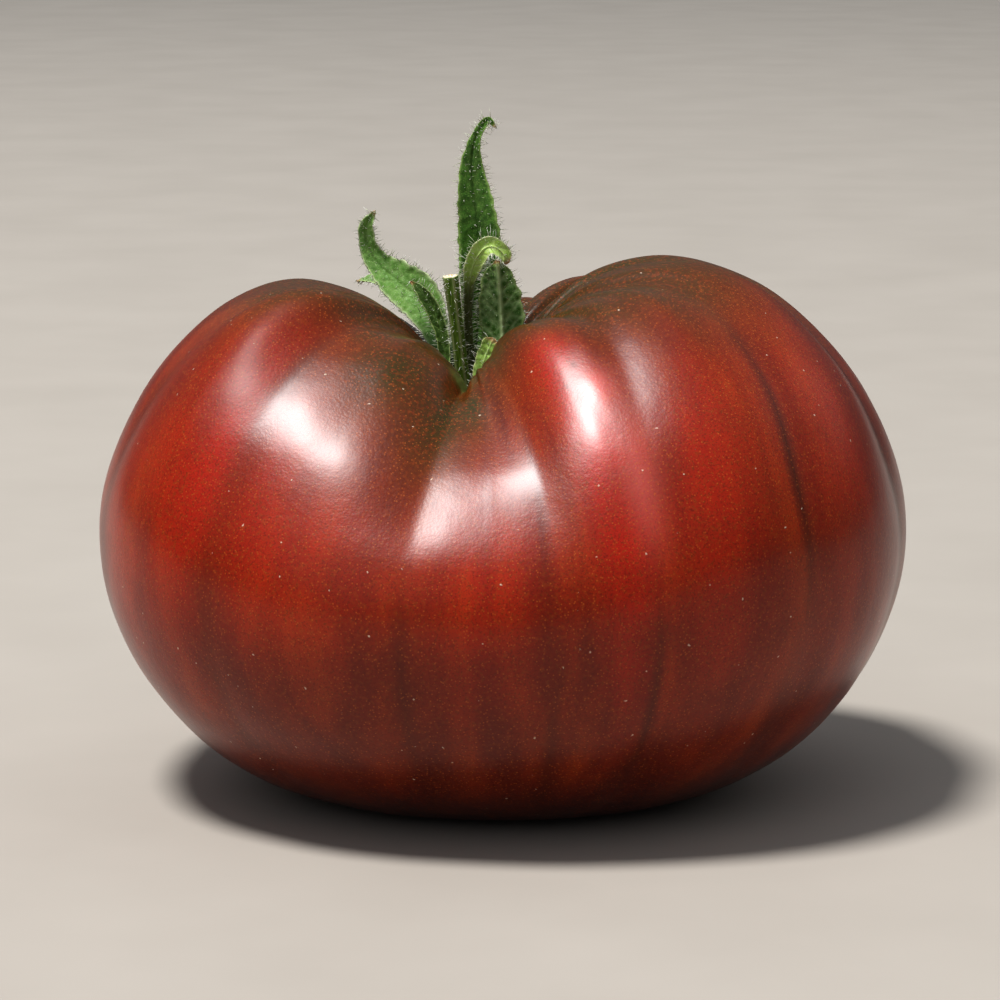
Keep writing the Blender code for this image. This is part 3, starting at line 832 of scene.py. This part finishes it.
def makeSepal(number, nodeName, shape, hairMaterial):
    sizes = bladeSizes
    chance = random.Random(20 + number)
    rows, columns = sizes["rows"], sizes["columns"]
    footTurn = math.radians(shape["direction"])
    footReach = calyxSizes["radius"] * calyxSizes["sepalFootReach"]
    foot = (
        calyxSizes["middle"][0] + footReach * math.cos(footTurn),
        calyxSizes["middle"][1] + footReach * math.sin(footTurn),
        calyxSizes["sepalFootHeight"],
        calyxSizes["sepalFootWidth"],
    )
    line = np.array((foot, *shape["line"]))
    along = np.linspace(0.0, 1.0, rows)
    place = along * (len(line) - 1)
    route = alongRow(line, place)
    middle, width = route[:, :3], np.maximum(route[:, 3], sizes["leastWidth"])
    forward = unit(np.gradient(middle, axis=0))
    footFace, tipFace = np.array(shape["faces"])
    looks = footFace * (1.0 - along[:, None]) + tipFace * along[:, None]
    side = unit(np.cross(forward, looks))
    top = np.cross(side, forward)
    # the tip closes over its last stretch
    length = np.concatenate([[0.0], np.cumsum(np.linalg.norm(np.diff(middle, axis=0), axis=1))])
    closing = np.sqrt(np.clip((length[-1] - length) / shape["tip"], 0.0, 1.0))
    half = width / 2.0 * np.maximum(closing, 0.04)

    # across the blade its slope starts at the fold and changes by the roll
    across = np.linspace(-1.0, 1.0, columns)
    slope = np.radians(shape["fold"] + shape["roll"] * across**2) * np.tanh(np.abs(across) * 9.0)
    step = np.abs(np.diff(across, prepend=across[0]))
    run = np.cumsum(np.cos(slope) * step)
    rise = np.cumsum(np.sin(slope) * np.sign(across) * step)
    run, rise = run - run[columns // 2], rise - rise[columns // 2]

    # margins wander in and out, each in its own way, and the blade waves
    level = np.zeros(rows)
    edge, otherEdge = (
        1.0 + sizes["wander"] * softNoise(np.stack([length, level + start, level], -1), 1.0, number)
        for start in (-1.0, 9.0)
    )
    wander = np.where(across[None, :] < 0.0, edge[:, None], otherEdge[:, None])
    reach = half[:, None] * (1.0 + (wander - 1.0) * np.abs(across))
    phase = length[:, None] / sizes["waveStep"] + np.sign(across) * sizes["waveLag"] + number
    waving = shape["wave"] * np.sin(phase) * across**2
    lift = half[:, None] * rise + waving * np.minimum(half[:, None], 1.0)
    sheet = middle[:, None, :] + side[:, None, :] * (reach * run)[..., None]
    sheet = sheet + top[:, None, :] * lift[..., None]

    # side veins leave the midrib at a slant, and the blade puffs up between them
    slanted = length[:, None] - sizes["veinSlant"] * np.abs(across) * half[:, None]
    veinPhase = slanted / sizes["veinSpacing"] + 0.5 * (across > 0.0)
    vein = np.exp(-(((veinPhase % 1.0) - 0.5) / sizes["veinWidth"]) ** 2) * ease(0.05, 0.25, np.abs(across))
    midrib = np.exp(-((across[None, :] * half[:, None] / sizes["midribWidth"]) ** 2)) * np.ones((rows, 1))
    puff = softNoise(sheet.reshape(-1, 3), sizes["puffSize"], number + 0.5).reshape(rows, columns)
    relief = sizes["puffHeight"] * puff * ease(0.0, 0.8, half[:, None]) - sizes["veinDepth"] * vein
    narrowing = np.minimum(half, 1.0)  # below 1 where the blade is narrower than 2 mm
    relief = relief + shape["rib"] * midrib * narrowing[:, None]
    bulge = np.exp(-((across * half[:, None] / sizes["thickReach"]) ** 2))
    thickness = sizes["marginThickness"] + (sizes["midThickness"] - sizes["marginThickness"]) * bulge
    thickness = thickness * (sizes["tipThickness"] + (1.0 - sizes["tipThickness"]) * narrowing)[:, None]
    runWay, riseWay = np.cos(slope), np.sin(slope) * np.sign(across)
    normal = top[:, None, :] * runWay[None, :, None] - side[:, None, :] * riseWay[None, :, None]
    upper = sheet + normal * (relief + thickness / 2.0)[..., None]
    lower = sheet + normal * (relief - thickness / 2.0)[..., None]

    count = rows * columns
    points = np.vstack([upper.reshape(-1, 3), lower.reshape(-1, 3)])
    faces = []
    for row in range(rows - 1):
        for column in range(columns - 1):
            a = row * columns + column
            b, c, d = a + 1, a + columns + 1, a + columns
            faces.append((a, b, c, d))
            faces.append((count + d, count + c, count + b, count + a))
    rim = [*range(columns), *range(2 * columns - 1, count, columns)]
    rim += [*range(count - 2, count - columns - 1, -1), *range(count - 2 * columns, 0, -columns)]
    for this, after in zip(rim, rim[1:] + rim[:1]):
        faces.append((this, count + this, count + after, after))

    strength = np.clip(0.9 * midrib * (shape["rib"] > 0.0) + 0.3 * vein, 0.0, 0.9)
    atTip = 1.0 - ease(0.0, 0.9, length[-1] - length)
    margin = 0.8 * np.clip(ease(0.82, 1.0, np.abs(across))[None, :] + atTip[:, None], 0.0, 1.0)
    # painted shade: the blade is darker from its foot up to this share of its length
    shaded = 0.85 * (1.0 - ease(shape["dusk"] - 0.08, shape["dusk"] + 0.06, along))
    brown = 0.8 * (1.0 - ease(*sizes["dryLength"], length[-1] - length))
    traits = {
        "foot": np.tile(np.repeat(shaded, columns), 2),
        "tip": np.tile(np.repeat(brown, columns), 2),
        "rib": np.tile(strength.ravel(), 2),
        "margin": np.tile(margin.ravel(), 2),
        "under": np.repeat([0.0, 1.0], count),
    }
    words = nodeName.split("_")
    name = words[0] + "".join(word.capitalize() for word in words[1:])
    leaf = tomatoLeaf(name + "Leaf", *shape["colours"])
    blade = newPiece(name, points, faces, traits, [leaf])
    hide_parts(nodeName)

    # hairs: a fringe along both margins and a thin felt on both faces
    roots, directions, lengths = [], [], []
    for column, way in ((0, -1.0), (columns - 1, 1.0)):
        at = 1.5
        while at < length[-1]:
            row = int(np.searchsorted(length, at))
            out = side[row] * way * math.cos(slope[column]) + top[row] * math.sin(slope[column])
            roots.append(sheet[row, column] - out * hairSizes["sunk"])
            lean = leaning(chance, hairSizes["marginLean"], forward[row], normal[row, column])
            directions.append(out + lean)
            lengths.append(chance.uniform(*hairSizes["marginLength"]) * (0.6 + 0.4 * shape["hairy"]))
            at += hairSizes["marginSpacing"] * chance.uniform(0.4, 1.6) / shape["hairy"]
    area = float(np.sum(half[1:] * 2.0 * np.diff(length)))
    for each in range(int(area * 2.0 * hairSizes["facePerSquare"] * shape["hairy"])):
        row = chance.randrange(4, rows)
        column = chance.randrange(columns)
        way = chance.choice((-1.0, 1.0))
        skin = upper if way > 0.0 else lower
        roots.append(skin[row, column] - normal[row, column] * way * hairSizes["faceSunk"])
        lean = leaning(chance, hairSizes["faceLean"], forward[row], side[row])
        directions.append(normal[row, column] * way + lean)
        lengths.append(chance.uniform(*hairSizes["faceLength"]))
    makeHairs(name + "Hairs", roots, directions, lengths, hairMaterial, chance)


# sizes here are in metres, and those of the lens and its sensor in millimetres
studio = {
    "floorSize": 12.0,
    "floorColours": ("#afa79d", "#b4aca2"),
    "skyColour": "#dfe6ee",
    "skyStrength": 0.45,
    "horizonStrength": 0.08,
    "target": (-0.0003, 0.0, 0.0395),
    "elevation": 11.0,  # degrees
    "lens": 135.0,
    "sensor": 36.0,
    "frameWidth": 0.1366,  # across the frame at the target
    # name: direction to the light, distance, size, watts, colour
    "lights": {
        "keyLight": ((-0.28, -0.15, 0.93), 3.0, 0.68, 96.0, "#ffffff"),
        "fillLight": ((-0.5, -0.8, 0.45), 1.2, 0.8, 0.6, "#eef3ff"),
        "rimLight": ((0.8, 0.35, 0.5), 1.2, 0.7, 0.3, "#ffffff"),
    },
}


# Painted board: matt and smooth, with the faint cloud of a roller coat 40 mm wide.
def paintedBoard():
    paint, tree = newMaterial("paleBoardPaint")
    position = addNode(tree, "ShaderNodeTexCoord").outputs["Object"]
    cloud = addNode(tree, "ShaderNodeTexNoise", {"Vector": position, "Scale": scaleFor(40.0), "Detail": 3.0})
    colour = addNode(tree, "ShaderNodeValToRGB", {"Fac": cloud.outputs["Fac"]}, stops=[
        *zip((0.3, 0.7), studio["floorColours"]),
    ]).outputs["Color"]
    shader = addNode(tree, "ShaderNodeBsdfPrincipled", {"Base Color": colour, "Roughness": 0.8})
    addNode(tree, "ShaderNodeOutputMaterial", {"Surface": shader.outputs["BSDF"]})
    return paint


# the floor, a sky that is brighter overhead, the lights and the camera
def makeStudio():
    scene = bpy.context.scene
    halfSize = studio["floorSize"] / 2.0
    corners = [(-halfSize, -halfSize), (halfSize, -halfSize), (halfSize, halfSize), (-halfSize, halfSize)]
    board = bpy.data.meshes.new("floor")
    board.from_pydata([(*corner, 0.0) for corner in corners], [], [(0, 1, 2, 3)])
    board.materials.append(paintedBoard())
    floor = bpy.data.objects.new("floor", board)
    scene.collection.objects.link(floor)

    world = bpy.data.worlds.new("paleSky")
    world.use_nodes = True
    tree = world.node_tree
    tree.nodes.clear()
    direction = addNode(tree, "ShaderNodeTexCoord").outputs["Generated"]
    height = addNode(tree, "ShaderNodeSeparateXYZ", {"Vector": direction}).outputs["Z"]
    strength = addNode(tree, "ShaderNodeMapRange", {
        "Value": height, "From Min": 0.0, "From Max": 0.8,
        "To Min": studio["horizonStrength"], "To Max": studio["skyStrength"],
    }).outputs["Result"]
    sky = addNode(tree, "ShaderNodeBackground", {"Color": studio["skyColour"], "Strength": strength})
    addNode(tree, "ShaderNodeOutputWorld", {"Surface": sky.outputs["Background"]})
    scene.world = world

    target = Vector(studio["target"])
    for name, (direction, distance, size, power, tint) in studio["lights"].items():
        lamp = bpy.data.lights.new(name, "AREA")
        lamp.shape = "DISK"
        lamp.size = size
        lamp.energy = power
        lamp.color = linear(tint)[:3]
        light = bpy.data.objects.new(name, lamp)
        light.location = target + Vector(direction).normalized() * distance
        light.rotation_euler = Vector(direction).to_track_quat("Z", "Y").to_euler()
        scene.collection.objects.link(light)

    lensData = bpy.data.cameras.new("camera")
    lensData.lens = studio["lens"]
    lensData.sensor_width = studio["sensor"]
    distance = studio["frameWidth"] * studio["lens"] / studio["sensor"]
    tilt = math.radians(studio["elevation"])
    camera = bpy.data.objects.new("camera", lensData)
    camera.location = target + Vector((0.0, -math.cos(tilt), math.sin(tilt))) * distance
    camera.rotation_euler = (math.radians(90.0) - tilt, 0.0, 0.0)
    scene.collection.objects.link(camera)
    scene.camera = camera
    scene.view_settings.view_transform = "Standard"
    scene.view_settings.look = "Medium High Contrast"
    print("studio set")


makeStudio()
makeFruit()
hairMaterial = plantHair()
makeCalyxBase(tomatoLeaf("calyxLeaf", *calyxSizes["colours"]))
makeStalk(hairMaterial)
for number, (nodeName, shape) in enumerate(sepalShapes.items()):
    makeSepal(number, nodeName, shape, hairMaterial)
print("sepals made:", len(sepalShapes))

bpy.context.view_layer.update()
